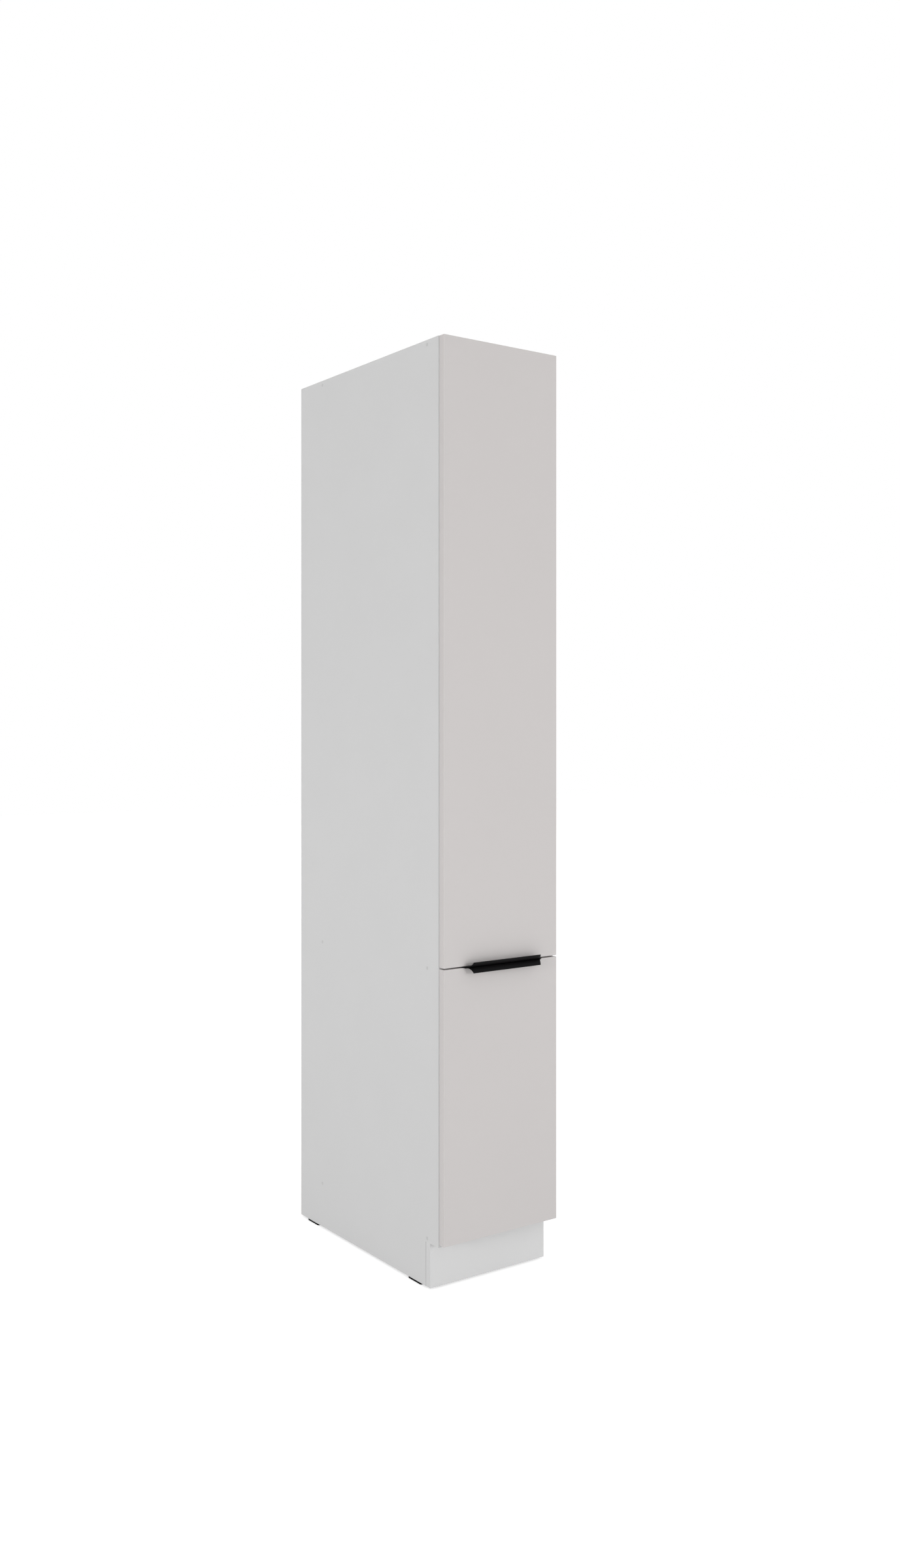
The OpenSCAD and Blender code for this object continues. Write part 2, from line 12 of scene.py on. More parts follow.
import bmesh
import bpy
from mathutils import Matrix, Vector


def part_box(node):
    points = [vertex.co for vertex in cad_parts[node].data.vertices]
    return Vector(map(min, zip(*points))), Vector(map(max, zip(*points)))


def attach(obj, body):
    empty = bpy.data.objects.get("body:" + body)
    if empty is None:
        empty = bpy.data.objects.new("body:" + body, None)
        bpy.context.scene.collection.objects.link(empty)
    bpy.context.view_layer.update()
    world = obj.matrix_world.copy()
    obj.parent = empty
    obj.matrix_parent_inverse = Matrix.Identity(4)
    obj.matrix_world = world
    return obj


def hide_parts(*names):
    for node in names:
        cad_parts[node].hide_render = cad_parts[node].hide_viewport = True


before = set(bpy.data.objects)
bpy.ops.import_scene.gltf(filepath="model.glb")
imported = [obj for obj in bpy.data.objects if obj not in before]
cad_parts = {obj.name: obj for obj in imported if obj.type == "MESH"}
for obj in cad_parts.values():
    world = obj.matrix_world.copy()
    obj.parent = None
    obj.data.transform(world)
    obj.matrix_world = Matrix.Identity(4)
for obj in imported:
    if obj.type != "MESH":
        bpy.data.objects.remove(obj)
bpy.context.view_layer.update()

# %% [markdown]
# The camera comes first, because it settles what shows. Product pictures of tall units are taken with
# a level camera and a shifted lens, so that upright edges stay upright. The camera could be aimed by
# eye, but here it was fitted to the cabinet's edges: it stands 1165 mm above the floor, turned 35
# degrees, and its lens is shifted down a little to bring the plinth into the frame.

# %% The camera
PHOTO_HIGH = 2400
FOCAL_PIXELS = 2150.67
HORIZON_ROW = 1107.2
SENSOR = 36.0
EYE = (-1.7916, -2.6106, 1.1653)
TURN = -35.449

photo_lens = bpy.data.cameras.new("cabinet_camera")
photo_lens.sensor_width = SENSOR
photo_lens.lens = FOCAL_PIXELS / PHOTO_HIGH * SENSOR
photo_lens.shift_y = (HORIZON_ROW - PHOTO_HIGH / 2) / PHOTO_HIGH
camera = bpy.data.objects.new("cabinet_camera", photo_lens)
camera.location = EYE
camera.rotation_euler = (math.radians(90), 0, math.radians(TURN))
bpy.context.scene.collection.objects.link(camera)
bpy.context.scene.camera = camera
print("camera: lens", round(photo_lens.lens, 2), "mm, shift", round(photo_lens.shift_y, 4))

# %% [markdown]
# The room is a white studio with an even white surround and a pale floor. A backdrop could be built,
# but an even surround lights every side alike, and each colour then renders about as it is written.
# The camera sees the surround and the floor as plain white. The floor stays a real surface under that,
# so it keeps the soft shadow.

# %% The surround and the floor
SURROUND = 0.6
FLOOR_COLOUR = 0.88
FLOOR_WIDE = 30

scene = bpy.context.scene
scene.view_settings.view_transform = "Standard"
world = bpy.data.worlds.new("studio")
scene.world = world
world.use_nodes = True


def feed(tree, node, values):
    """Fills inputs, by name or number: a socket or a node's first output is wired, the rest is set."""
    for socket, value in values.items():
        if isinstance(value, bpy.types.Node):
            value = value.outputs[0]
        if isinstance(value, bpy.types.NodeSocket):
            tree.links.new(value, node.inputs[socket])
        else:
            node.inputs[socket].default_value = value


def add(tree, kind, values=None, **settings):
    """A shader node with these settings, fed with these values."""
    node = tree.nodes.new("ShaderNode" + kind)
    for setting, value in settings.items():
        setattr(node, setting, value)
    feed(tree, node, values or {})
    return node


def sum_of(tree, operation, a, b, **settings):
    """A sum with two numbers, each of them a value or a socket."""
    return add(tree, "Math", {0: a, 1: b}, operation=operation, **settings)


def seen_directly(tree):
    """1 for what the camera, a mirror or a glass sees, and 0 for the light that falls on things."""
    ray = add(tree, "LightPath").outputs
    either = sum_of(tree, "MAXIMUM", ray["Is Camera Ray"], ray["Is Glossy Ray"])
    return sum_of(tree, "MAXIMUM", either, ray["Is Transmission Ray"])


tree = world.node_tree
level = add(tree, "MapRange", {"Value": seen_directly(tree), "To Min": SURROUND, "To Max": 1.0})
feed(tree, tree.nodes["Background"], {"Color": (1, 1, 1, 1), "Strength": level})

bpy.ops.object.select_all(action="DESELECT")
bpy.ops.mesh.primitive_plane_add(size=FLOOR_WIDE, location=(0, 0, 0))
floor = bpy.context.object
floor.name = "floor"
floor_paint = bpy.data.materials.new("floor_paint")
floor_paint.use_nodes = True
tree = floor_paint.node_tree
matt = tree.nodes["Principled BSDF"]
feed(tree, matt, {"Base Color": (FLOOR_COLOUR, FLOOR_COLOUR, FLOOR_COLOUR, 1), "Roughness": 0.9,
                  "Specular IOR Level": 0.0})
glow = add(tree, "Emission", {"Strength": 1.0 - FLOOR_COLOUR * SURROUND})
both = add(tree, "AddShader", {0: matt, 1: glow})
choice = add(tree, "MixShader", {0: seen_directly(tree), 1: matt, 2: both})
feed(tree, tree.nodes["Material Output"], {"Surface": choice})
floor.data.materials.append(floor_paint)
print("studio: surround", SURROUND, "and floor", FLOOR_COLOUR)

# %% [markdown]
# Large soft lamps stand to the left and the right of the camera, with two weaker ones behind the unit.
# One big light could do, but each side of the unit has its own shade, so each gets its own lamp. They
# lean far forward, so that the foot of the unit, which is farther from them, gets as much light as its
# top. No gloss mirrors them, because a bright square in a satin front isn't part of the unit.

# %% The lamps
LAMP_WIDE = 2.8
LAMP_HIGH = 2.0
LAMP_AIM = Vector((0, 0, -23))
LAMPS = (
    ("lamp_left", -8.2, -2.8, 422),
    ("lamp_right", 2.2, -8.3, 325),
    ("lamp_far_side", 8.2, 2.8, 200),
    ("lamp_back", -2.2, 8.3, 150),
)

for name, x, y, power in LAMPS:
    lamp = bpy.data.lights.new(name, "AREA")
    lamp.shape = "SQUARE"
    lamp.size = LAMP_WIDE
    lamp.energy = power
    holder = bpy.data.objects.new(name, lamp)
    holder.location = (x, y, LAMP_HIGH)
    holder.rotation_euler = (LAMP_AIM - holder.location).to_track_quat("-Z", "Y").to_euler()
    holder.visible_glossy = False
    scene.collection.objects.link(holder)
    print(f"{name}: {power} W")

# %% [markdown]
# Every board and steel part here is worked the way a hand would in edit mode: start from a block of
# the right size, choose some faces or edges by where they lie, then extrude, bevel, bisect or delete
# them. The model could be typed in as lists of points, but steps like these keep the reason for each
# edge readable. These first helpers choose things. Everything is let go before each step, because an
# operator works on all that is chosen.

# %% Helpers that choose
MM = 0.001


def let_go():
    """Object mode, with nothing chosen."""
    active = bpy.context.view_layer.objects.active
    if active and active.mode != "OBJECT":
        bpy.ops.object.mode_set(mode="OBJECT")
    bpy.ops.object.select_all(action="DESELECT")


def take(piece):
    """Object mode, with only this piece chosen."""
    let_go()
    bpy.context.view_layer.objects.active = piece
    piece.select_set(True)


def choose(piece, kind, test):
    """Edit mode, with the faces or edges chosen whose middle and direction pass the test."""
    take(piece)
    bpy.ops.object.mode_set(mode="EDIT")
    bpy.ops.mesh.select_mode(type=kind)
    bpy.ops.mesh.select_all(action="DESELECT")
    shape = bmesh.from_edit_mesh(piece.data)
    shape.normal_update()
    for part in list(shape.faces if kind == "FACE" else shape.edges):
        if kind == "FACE":
            middle, direction = part.calc_center_median(), part.normal
        else:
            start, end = [corner.co for corner in part.verts]
            middle, direction = (start + end) / 2, (end - start).normalized()
        if test(middle, direction):
            part.select_set(True)
    shape.select_flush_mode()
    bmesh.update_edit_mesh(piece.data)


def near(a, b):
    """Two places that are the same to a twentieth of a millimetre."""
    return abs(a - b) < 0.05 * MM


def lies_at(middle, places):
    """True where a middle lies at these places, such as z=0.1."""
    return all(near(getattr(middle, way), place) for way, place in places.items())


def along(axis, **places):
    """A test for edges along an axis, 0 to 2, that lie at these places."""
    return lambda middle, line: abs(line[axis]) > 0.99 and lies_at(middle, places)


def facing(axis, sign, **places):
    """A test for faces that look along an axis and lie at these places."""
    return lambda middle, normal: normal[axis] * sign > 0.9 and lies_at(middle, places)


print("helpers ready")

# %% [markdown]
# A block is Blender's cube, added at the size and place of the raw board or bar. Applying its
# transform moves the place into the mesh, so the finished object sits at the origin, as the packed
# nodes do.

# %% Helpers that shape
PAST = 1 * MM  # how far a cutter reaches past the face that it cuts


def apply_place():
    """Moves the chosen object's place, turn and size into its mesh."""
    bpy.ops.object.transform_apply(location=True, rotation=True, scale=True)


def as_piece(name):
    """The primitive just added, as a named piece at the origin."""
    piece = bpy.context.object
    piece.name = name
    piece.data.name = name
    apply_place()
    return piece


def block(name, low, high):
    """A cube between two corners."""
    let_go()
    middle = [(a + b) / 2 for a, b in zip(low, high)]
    sides = [b - a for a, b in zip(low, high)]
    bpy.ops.mesh.primitive_cube_add(size=1, location=middle, scale=sides)
    return as_piece(name)


def rod(name, start, way, length, diameter, sides=32):
    """A cylinder that leaves a place in a direction."""
    let_go()
    way = Vector(way)
    bpy.ops.mesh.primitive_cylinder_add(
        vertices=sides, radius=diameter / 2, depth=length, location=Vector(start) + way * length / 2,
        rotation=way.to_track_quat("Z", "Y").to_euler())
    return as_piece(name)


def pull(piece, test, move, kind="FACE"):
    """Extrudes the faces or edges that pass the test."""
    choose(piece, kind, test)
    bpy.ops.mesh.extrude_region_move(TRANSFORM_OT_translate={"value": move})
    let_go()


def remove(piece, test):
    """Deletes the faces that pass the test."""
    choose(piece, "FACE", test)
    bpy.ops.mesh.delete(type="FACE")
    let_go()


def split(piece, place, way, **clear):
    """Bisects the whole piece with a plane, and can clear one side of it."""
    choose(piece, "FACE", lambda middle, normal: True)
    bpy.ops.mesh.bisect(plane_co=place, plane_no=way, **clear)
    let_go()


def mend(piece):
    """Merges doubled corners, then turns every face outwards."""
    choose(piece, "FACE", lambda middle, normal: True)
    bpy.ops.mesh.remove_doubles(threshold=0.01 * MM)
    bpy.ops.mesh.normals_make_consistent(inside=False)
    let_go()


def round_off(piece, test, radius, steps):
    """Bevels the edges that pass the test to a round."""
    choose(piece, "EDGE", test)
    bpy.ops.mesh.bevel(offset=radius, segments=steps, affect="EDGES")
    let_go()


def inset(piece, test, thickness, depth=0.0):
    """Insets the faces that pass the test, and can sink or raise them."""
    choose(piece, "FACE", test)
    bpy.ops.mesh.inset(thickness=thickness, depth=depth)
    let_go()


print("shaping helpers ready")

# %% [markdown]
# Real edges are never perfectly sharp, and a small bevel is what catches the light along them. A Bevel
# modifier finds every sharp edge by its angle and is then applied. After that the piece is shaded
# smooth, with its normals weighted by face size, so that broad faces stay flat and only the bevels
# turn.

# %% Helpers that finish
SHARP = math.radians(40)
STILL_ROUND = math.radians(50)


def modify(piece, kind, **settings):
    """Adds a modifier with these settings and applies it."""
    take(piece)
    bpy.ops.object.modifier_add(type=kind)
    modifier = piece.modifiers[-1]
    for setting, value in settings.items():
        setattr(modifier, setting, value)
    bpy.ops.object.modifier_apply(modifier=modifier.name)


def soften(piece, width):
    """Bevels every sharp edge."""
    modify(piece, "BEVEL", width=width, segments=2, limit_method="ANGLE", angle_limit=SHARP)


def smooth(piece):
    """Shades the bevels round and leaves the broad faces flat."""
    take(piece)
    bpy.ops.object.shade_smooth_by_angle(angle=STILL_ROUND)
    modify(piece, "WEIGHTED_NORMAL", keep_sharp=True, weight=60)


def cover(piece, *materials):
    """Puts materials on a piece. The first covers it all."""
    piece.data.materials.clear()
    for material in materials:
        piece.data.materials.append(material)


def cover_part(piece, number, test):
    """Gives the faces that pass a test the piece's material of that number."""
    for face in piece.data.polygons:
        if test(face.center, face.normal):
            face.material_index = number


def finish(piece, edge, *materials):
    """Softens a piece's edges, shades it and covers it."""
    soften(piece, edge)
    smooth(piece)
    cover(piece, *materials)
    return piece


def thicken(piece, sheet):
    """Gives a bent sheet its thickness, on the inside."""
    modify(piece, "SOLIDIFY", thickness=sheet, offset=-1.0, use_even_offset=True)


def join(pieces):
    """One piece from several."""
    take(pieces[0])
    for piece in pieces[1:]:
        piece.select_set(True)
    if len(pieces) > 1:
        bpy.ops.object.join()
    return bpy.context.view_layer.objects.active


def cut(piece, cutters):
    """Cuts solid shapes out of a piece."""
    cutter = join(cutters)
    modify(piece, "BOOLEAN", object=cutter, operation="DIFFERENCE", solver="EXACT")
    bpy.data.objects.remove(cutter)


def copies(piece, moves):
    """Copies of a piece at each of these moves from it, joined into one. The original goes."""
    made = []
    for move in moves:
        take(piece)
        bpy.ops.object.duplicate(linked=False)
        twin = bpy.context.view_layer.objects.active
        twin.location = move
        apply_place()
        made.append(twin)
    bpy.data.objects.remove(piece)
    return join(made)


print("finishing helpers ready")

# %% [markdown]
# Each finished piece is parented to the empty of the body that carries it, and the imported nodes that
# it stands for are hidden. Small parts of one kind, such as screws, are one piece together.

# %% Helpers that hand over
def settle(piece, body, slot, *nodes):
    """Parents the piece to what it rides on and hides the nodes that it replaces. The material slot is not
    used.
    """
    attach(piece, body)
    if nodes:
        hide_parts(*nodes)
    triangles = sum(len(face.vertices) - 2 for face in piece.data.polygons)
    print(f"{piece.name}: {triangles} triangles, on {body}")


def settle_set(name, parts, material, body, slot, *nodes):
    """Joins parts of one kind into a piece in one material, and settles it."""
    whole = join(parts)
    whole.name = name
    whole.data.name = name
    cover(whole, material)
    settle(whole, body, slot, *nodes)


# %% [markdown]
# Surfaces come from a few effects that many finishes share, so each effect is a node group with its
# own knobs. Grain is the fine unevenness of a pressed or sprayed surface. Drift is a slow change of
# shade over a hand's breadth. Both read Object coordinates, which are metres here, so their sizes are
# real sizes.

# %% Effects: grain and drift
NUMBER = "NodeSocketFloat"
COLOUR = "NodeSocketColor"


def effect(name, knobs, result, kind):
    """An empty node group: its knobs as inputs, and one output. Gives its tree, inputs and output."""
    group = bpy.data.node_groups.new(name, "ShaderNodeTree")
    for label, knob_kind, value in knobs:
        knob = group.interface.new_socket(name=label, in_out="INPUT", socket_type=knob_kind)
        knob.default_value = value
    group.interface.new_socket(name=result, in_out="OUTPUT", socket_type=kind)
    return group, group.nodes.new("NodeGroupInput").outputs, group.nodes.new("NodeGroupOutput")


def metres(tree):
    """Object coordinates."""
    return add(tree, "TexCoord").outputs["Object"]


def sized_place(tree, size):
    """Object coordinates divided by a size in metres, so that one unit is that size."""
    per = sum_of(tree, "DIVIDE", 1.0, size)
    return add(tree, "VectorMath", {0: metres(tree), "Scale": per}, operation="SCALE")


grain, knob, given = effect("grain", [("Size", NUMBER, 0.001)], "Height", NUMBER)
speck = add(grain, "TexNoise", {"Vector": sized_place(grain, knob["Size"]), "Scale": 1.0, "Detail": 3.0})
feed(grain, given, {"Height": speck})

drift, knob, given = effect(
    "drift",
    [("Colour", COLOUR, (0.5, 0.5, 0.5, 1)), ("Other", COLOUR, (0.4, 0.4, 0.4, 1)), ("Size", NUMBER, 0.1)],
    "Colour", COLOUR)
clouds = add(drift, "TexNoise", {"Vector": sized_place(drift, knob["Size"]), "Scale": 1.0, "Detail": 4.0})
spread = add(drift, "MapRange", {"Value": clouds, "From Min": 0.35, "From Max": 0.65})
blend = add(drift, "Mix", {0: spread, 6: knob["Colour"], 7: knob["Other"]}, data_type="RGBA")
feed(drift, given, {"Colour": blend.outputs[2]})
print("effects:", grain.name, drift.name)

# %% [markdown]
# Three more effects follow from use and from making. Coated metal loses its coat first along its
# edges, which a Bevel node finds by comparing a rounded normal with the true one. Dust settles on what
# looks up. Lines are the fine marks that rolling and plating leave along a steel strip.

# %% Effects: edge wear, dust and drawn lines
edge_wear, knob, given = effect(
    "edge_wear", [("Radius", NUMBER, 0.0006), ("Amount", NUMBER, 0.5)], "Mask", NUMBER)
rounded = add(edge_wear, "Bevel", {"Radius": knob["Radius"]}, samples=4)
true_face = add(edge_wear, "NewGeometry").outputs["Normal"]
likeness = add(edge_wear, "VectorMath", {0: rounded, 1: true_face}, operation="DOT_PRODUCT")
likeness = likeness.outputs["Value"]
turned = add(edge_wear, "MapRange", {"Value": likeness, "From Min": 0.995, "From Max": 0.9})
patchy = add(edge_wear, "TexNoise", {"Vector": metres(edge_wear), "Scale": 140.0, "Detail": 4.0})
patches = add(edge_wear, "MapRange", {"Value": patchy, "From Min": 0.45, "From Max": 0.7})
worn = sum_of(edge_wear, "MULTIPLY", turned, patches)
share = sum_of(edge_wear, "MULTIPLY", worn, knob["Amount"], use_clamp=True)
feed(edge_wear, given, {"Mask": share})

dust, knob, given = effect("dust", [("Amount", NUMBER, 0.3)], "Mask", NUMBER)
looks = add(dust, "NewGeometry").outputs["Normal"]
axes = add(dust, "SeparateXYZ", {0: looks})
upward = add(dust, "MapRange", {"Value": axes.outputs["Z"], "From Min": 0.7, "From Max": 1.0})
motes = add(dust, "TexNoise", {"Vector": metres(dust), "Scale": 60.0, "Detail": 8.0, "Roughness": 0.7})
fallen = sum_of(dust, "MULTIPLY", upward, motes)
share = sum_of(dust, "MULTIPLY", fallen, knob["Amount"], use_clamp=True)
feed(dust, given, {"Mask": share})

lines, knob, given = effect("lines", [("Size", NUMBER, 0.0004)], "Height", NUMBER)
drawn = add(lines, "VectorMath", {0: sized_place(lines, knob["Size"]), 1: (1.0, 0.02, 1.0)},
            operation="MULTIPLY")
streaks = add(lines, "TexNoise", {"Vector": drawn, "Scale": 1.0, "Detail": 2.0})
feed(lines, given, {"Height": streaks})
print("effects:", edge_wear.name, dust.name, lines.name)

# %% [markdown]
# Each finish starts from the same few wires: a colour that drifts, a roughness that follows the grain,
# and a bump from the grain. A finish that needs more, such as wear or a second relief, adds it to
# these. What is the same all over the surface is set on the shader itself.

# %% The start of every finish
def place(tree, group, **values):
    """A node group in a material, with its knobs set."""
    return add(tree, "Group", values, node_tree=group)


def paint(name, colour, other, roughness, grain_size, bump, drift_size=0.12, **constants):
    """A material with drift in its colour, and grain in its roughness and its bump."""
    material = bpy.data.materials.new(name)
    material.use_nodes = True
    tree = material.node_tree
    shader = tree.nodes["Principled BSDF"]
    feed(tree, shader, {label.replace("_", " "): value for label, value in constants.items()})
    shade = place(tree, drift, Colour=(*colour, 1), Other=(*other, 1), Size=drift_size)
    fine = place(tree, grain, Size=grain_size)
    sheen = add(tree, "MapRange", {"Value": fine, "To Min": roughness[0], "To Max": roughness[1]})
    relief = add(tree, "Bump", {"Strength": 1.0, "Distance": bump, "Height": fine})
    feed(tree, shader, {"Base Color": shade, "Roughness": sheen, "Normal": relief})
    return material


def shaded(colour, share):
    """A colour at a share of its strength."""
    return tuple(channel * share for channel in colour)


def overlay(material, mask, colour):
    """Lays a colour over a material's colour where a mask says so."""
    tree = material.node_tree
    shader = tree.nodes["Principled BSDF"]
    under = shader.inputs["Base Color"].links[0].from_socket
    mixed = add(tree, "Mix", {0: mask, 6: under, 7: (*colour, 1)}, data_type="RGBA")
    feed(tree, shader, {"Base Color": mixed.outputs[2]})


def emboss(material, height, depth):
    """Adds a relief on top of the one that a material has. Depth is in metres."""
    tree = material.node_tree
    shader = tree.nodes["Principled BSDF"]
    under = shader.inputs["Normal"].links[0].from_socket
    relief = add(tree, "Bump", {"Distance": depth, "Height": height, "Normal": under})
    feed(tree, shader, {"Normal": relief})


def dusty(material, amount):
    """A little dust on what looks up."""
    overlay(material, place(material.node_tree, dust, Amount=amount), (0.66, 0.65, 0.63))
    return material


print("finishes start here")

# %% [markdown]
# The carcass is melamine-faced chipboard: paper in hard resin, pressed with a very fine pearl that
# keeps it from shining. It is pale grey on the carcass and nearly white on the trays. The plinth is the
# same grey board, but its face is painted paler, as painted light against the shade under the overhang,
# and its ends get a darker copy, as painted shade. The rear and top edges of the boards carry no
# edging, so the chipboard core shows there: flattened chips of wood in glue, which cells of a stretched
# Voronoi pattern give.

# %% Finishes: melamine and chipboard
CHIPS_PER_METRE = (900.0, 260.0, 260.0)


def melamine(name, value, warmth=0.0):
    """A pale board face. Warmth takes that much off green, and a little more off blue."""
    colour = (value, value - warmth, value - warmth * 1.2)
    return paint(name, colour, shaded(colour, 0.99), (0.42, 0.56), 0.0004, 0.00001,
                 Specular_IOR_Level=0.4)


carcass_melamine = dusty(melamine("carcass_melamine", 0.605), 0.3)
# The plinth's face is painted lighter than its board, as painted light, and its ends darker, as painted
# shade.
plinth_face_painted_light = dusty(melamine("plinth_face_painted_light", 0.692), 0.3)
plinth_end_painted_shade = dusty(melamine("plinth_end_painted_shade", 0.612), 0.3)
tray_melamine = dusty(melamine("tray_melamine", 0.72, 0.004), 0.2)

chipboard = paint("chipboard", (0.47, 0.34, 0.21), (0.36, 0.25, 0.15), (0.75, 0.95), 0.0012, 0.0002,
                  drift_size=0.01)
tree = chipboard.node_tree
laid = add(tree, "VectorMath", {0: metres(tree), 1: CHIPS_PER_METRE}, operation="MULTIPLY")
flakes = add(tree, "TexVoronoi", {"Vector": laid, "Scale": 1.0})
light_chip = add(tree, "SeparateColor", {0: flakes.outputs["Color"]})
overlay(chipboard, sum_of(tree, "MULTIPLY", light_chip, 0.8), (0.62, 0.49, 0.33))
print("board finishes made")

# %% [markdown]
# A side board is one panel with a notch for the toes. It could be two blocks, but a real side is one
# board, so the block starts at the bottom panel's height, is bisected behind the plinth, and only the
# rear part of its underside is pulled down to the glides. Its edging is rounded at the outer front
# edge. A groove takes the back sheet, and shallow round recesses take the screw caps.

# %% Side boards
EDGE_SOFT = 0.12 * MM
EDGING_ROUND = 2 * MM
CAP_D = 7 * MM
CAP_PLAY = 0.1 * MM

panel_low, panel_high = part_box("bottom_panel")
plinth_low, plinth_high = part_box("plinth_board")
sheet_low, sheet_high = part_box("back_sheet")
side_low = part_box("side_left")[0]
cap_low, cap_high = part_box("screw_caps")

board_thick = panel_high.z - panel_low.z
cap_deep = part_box("carcass_screws")[0].x - side_low.x
cap_ys = [cap_low.y + CAP_D / 2, cap_high.y - CAP_D / 2]
cap_zs = [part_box(name)[0].z + board_thick / 2 for name in ("bottom_panel", "mid_shelf", "top_panel")]

for side, out in (("left", -1), ("right", 1)):
    low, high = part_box("side_" + side)
    outer = out * max(abs(low.x), abs(high.x))
    inner = out * min(abs(low.x), abs(high.x))
    piece = block("side_board_" + side, (low.x, low.y, panel_low.z), high)
    split(piece, (0, plinth_high.y, 0), (0, 1, 0))
    pull(piece, lambda middle, normal: normal.z < -0.9 and middle.y > plinth_high.y,
         (0, 0, low.z - panel_low.z))
    round_off(piece, along(2, x=outer, y=low.y), EDGING_ROUND, 5)
    soften(piece, EDGE_SOFT)
    depth = sorted((inner - out * PAST, out * abs(sheet_low.x)))
    cutters = [block("groove", (depth[0], sheet_low.y - CAP_PLAY, panel_low.z),
                     (depth[1], sheet_high.y + CAP_PLAY, high.z + PAST))]
    cutters += [rod("recess", (outer + out * PAST, y, z), (-out, 0, 0), cap_deep + PAST,
                    CAP_D + 2 * CAP_PLAY) for y in cap_ys for z in cap_zs]
    cut(piece, cutters)
    smooth(piece)
    cover(piece, carcass_melamine, chipboard)
    cover_part(piece, 1, facing(2, 1))
    cover_part(piece, 1, lambda middle, normal: normal.y > 0.9 and middle.y > high.y - MM)
    settle(piece, "carcass", "carcass_board", "side_" + side)

# %% [markdown]
# The top panel, the middle shelf and the bottom panel are plain boards between the sides. Their front
# edges are banded and their rear edges raw. The rail behind the back sheet takes the wall screws, so it
# has two holes through it, and so has the sheet. Its raw edge is the upper one.

# %% Boards between the sides
WALL_HOLE_D = 5.5 * MM
WALL_HOLE_X = 90 * MM
WALL_HOLE_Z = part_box("rear_rail")[1].z - 40 * MM


def wall_holes(low, high):
    """Cutters for the two holes that go through the sheet and the rail."""
    return [rod("hole", (side * WALL_HOLE_X, low.y - PAST, WALL_HOLE_Z), (0, 1, 0),
                high.y - low.y + 2 * PAST, WALL_HOLE_D)
            for side in (-1, 1)]


for node in ("top_panel", "mid_shelf", "bottom_panel", "rear_rail"):
    low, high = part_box(node)
    piece = block("board_" + node, low, high)
    soften(piece, EDGE_SOFT / 2)
    if node == "rear_rail":
        cut(piece, wall_holes(low, high))
    smooth(piece)
    cover(piece, carcass_melamine, chipboard)
    raw_axis = 2 if node == "rear_rail" else 1
    cover_part(piece, 1, facing(raw_axis, 1))
    settle(piece, "carcass", "carcass_board", node)

# %% [markdown]
# The back is a thin hardboard sheet. Its inner face is painted to match the boards. Its rear face is
# raw: pressed brown fibre with the print of the wire mesh that the wet sheet lay on, which two crossed
# wave patterns give.

# %% The back sheet
MESH_SCALE = 150.0

hardboard_face = melamine("hardboard_face", 0.62)
hardboard_rear = paint("hardboard_rear", (0.23, 0.13, 0.07), (0.18, 0.1, 0.052), (0.7, 0.9), 0.0008,
                       0.00005, drift_size=0.05)
tree = hardboard_rear.node_tree
wires = [add(tree, "TexWave", {"Vector": metres(tree), "Scale": MESH_SCALE}, bands_direction=way)
         for way in ("X", "Z")]
crossed = sum_of(tree, "MULTIPLY", *[wave.outputs["Fac"] for wave in wires])
emboss(hardboard_rear, crossed, 0.0002)

back = block("back_hardboard", sheet_low, sheet_high)
soften(back, 0.2 * MM)
cut(back, wall_holes(sheet_low, sheet_high))
smooth(back)
cover(back, hardboard_face, hardboard_rear)
cover_part(back, 1, facing(1, 1))
settle(back, "carcass", "back_sheet", "back_sheet")

# %% [markdown]
# The plinth board closes the toe space. It runs over the ends of the side boards and stands just clear
# of them, so its own end shows as a strip beside the left board, with a fine dark joint between. Behind
# it sit two moulded corner blocks, hollow at the back.

# %% Plinth and corner blocks
PLINTH_JOINT = 0.9 * MM
BLOCK_WIDE = 20 * MM
BLOCK_WALL = 2.5 * MM
BLOCK_HOLLOW = 12 * MM

plinth = block("plinth_panel", plinth_low, plinth_high - Vector((0, PLINTH_JOINT, 0)))
# The face takes the painted light, and the ends take the painted shade.
finish(plinth, EDGE_SOFT, plinth_face_painted_light, plinth_end_painted_shade)
cover_part(plinth, 1, lambda middle, normal: abs(normal.x) > 0.5)
settle(plinth, "carcass", "plinth_board", "plinth_board")

white_plastic = paint("white_plastic", (0.68, 0.68, 0.66), (0.64, 0.64, 0.62), (0.38, 0.5), 0.0009,
                      0.00001)
block_low, block_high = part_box("plinth_blocks")
blocks = []
for left in (block_low.x, block_high.x - BLOCK_WIDE):
    right = left + BLOCK_WIDE
    body = block("corner_block", (left, block_low.y, block_low.z), (right, block_high.y, block_high.z))
    inset(body, facing(1, 1), BLOCK_WALL)
    pull(body, facing(1, 1, x=(left + right) / 2, z=(block_low.z + block_high.z) / 2),
         (0, -BLOCK_HOLLOW, 0))
    blocks.append(finish(body, 0.5 * MM))
settle_set("corner_blocks", blocks, white_plastic, "carcass", "block_plastic", "plinth_blocks")

# %% [markdown]
# The glides are black moulded strips under both ends of each side board, so that the raw edge never
# meets a wet floor. One is modelled, with rounded ends and the pin that holds it in the board, and
# then copied to its four places.

# %% Glides
GLIDE_LONG = 47 * MM
GLIDE_WIDE = 16 * MM
GLIDE_HIGH = side_low.z
PIN_D = 5 * MM

